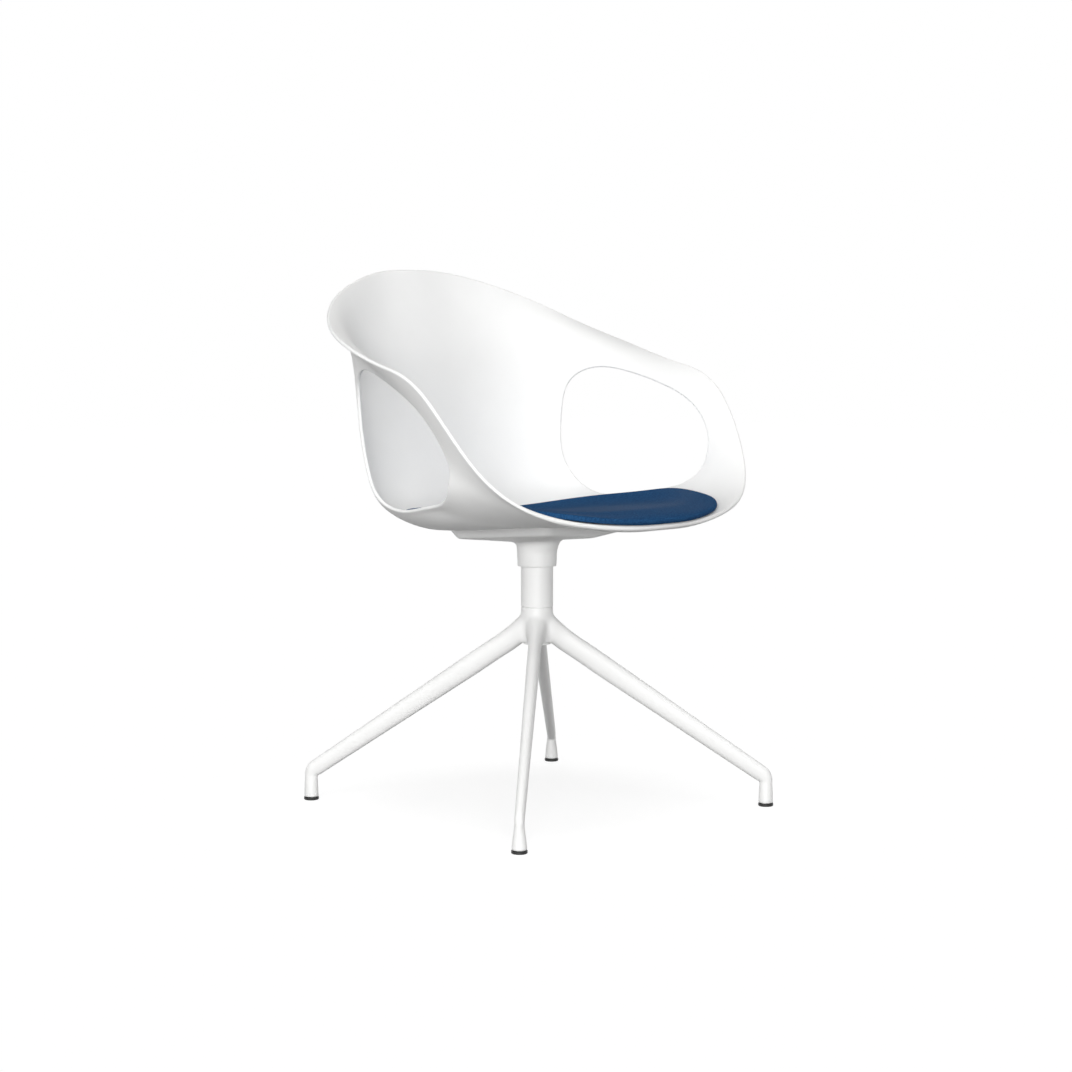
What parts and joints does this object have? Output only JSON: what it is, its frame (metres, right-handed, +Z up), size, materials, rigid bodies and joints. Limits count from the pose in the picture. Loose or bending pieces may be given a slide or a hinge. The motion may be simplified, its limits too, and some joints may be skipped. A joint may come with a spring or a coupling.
{
  "type": "swivel shell armchair",
  "caption": "Moulded shell armchair with open arms and a fabric seat pad, swivelling on a cast star base with level feet.",
  "frame": {"origin": "on the floor, on the swivel axis", "axes": "+Z up along the swivel axis, -Y towards the front of the seat, +X to the right as seen from the front"},
  "size_m": [0.6272, 0.5382, 0.7849],
  "materials": {
    "white_paint": "fine matt white powder coat",
    "white_plastic": "matt white moulded plastic",
    "blue_fabric": "woven wool, navy blue",
    "black_fabric": "hook-and-loop tape",
    "black_plastic": "black nylon",
    "board_plastic": "dark grey moulded board",
    "bush_plastic": "natural acetal",
    "steel": "zinc-plated and ground steel",
    "cage_brass": "pressed sheet",
    "insert_brass": "turned and knurled"
  },
  "bodies": {
    "base": {"star_base": "white_paint", "glide_1": "black_plastic", "glide_2": "black_plastic", "glide_3": "black_plastic", "glide_4": "black_plastic", "column_tube": "white_paint", "column_nut": "steel", "hub_cap": "white_plastic", "lower_bush": "bush_plastic", "upper_bush": "bush_plastic", "lower_race": "steel"},
    "bearing": {"bearing_balls": "steel", "bearing_cage": "cage_brass"},
    "seat": {"spindle": "steel", "spindle_bottom_washer": "steel", "spindle_bottom_bolt": "steel", "upper_race": "steel", "spindle_top_washer": "steel", "spindle_top_bolt": "steel", "seat_plate": "white_paint", "seat_screws": "steel", "shell_inserts": "insert_brass", "shell": "white_plastic", "pad_tabs": "black_fabric", "pad_board": "board_plastic", "seat_pad": "blue_fabric"}
  },
  "joints": [
    {"name": "seat_swivel", "type": "hinge", "parent": "base", "child": "seat", "pos_m": [0, 0, 0.378], "axis": [0, 0, 1], "continuous": true},
    {"name": "bearing_spin", "type": "hinge", "parent": "base", "child": "bearing", "pos_m": [0, 0, 0.378], "axis": [0, 0, 1], "continuous": true}
  ],
  "couplings": [
    {"joint": "bearing_spin", "follows": "seat_swivel", "ratio": 0.5}
  ]
}
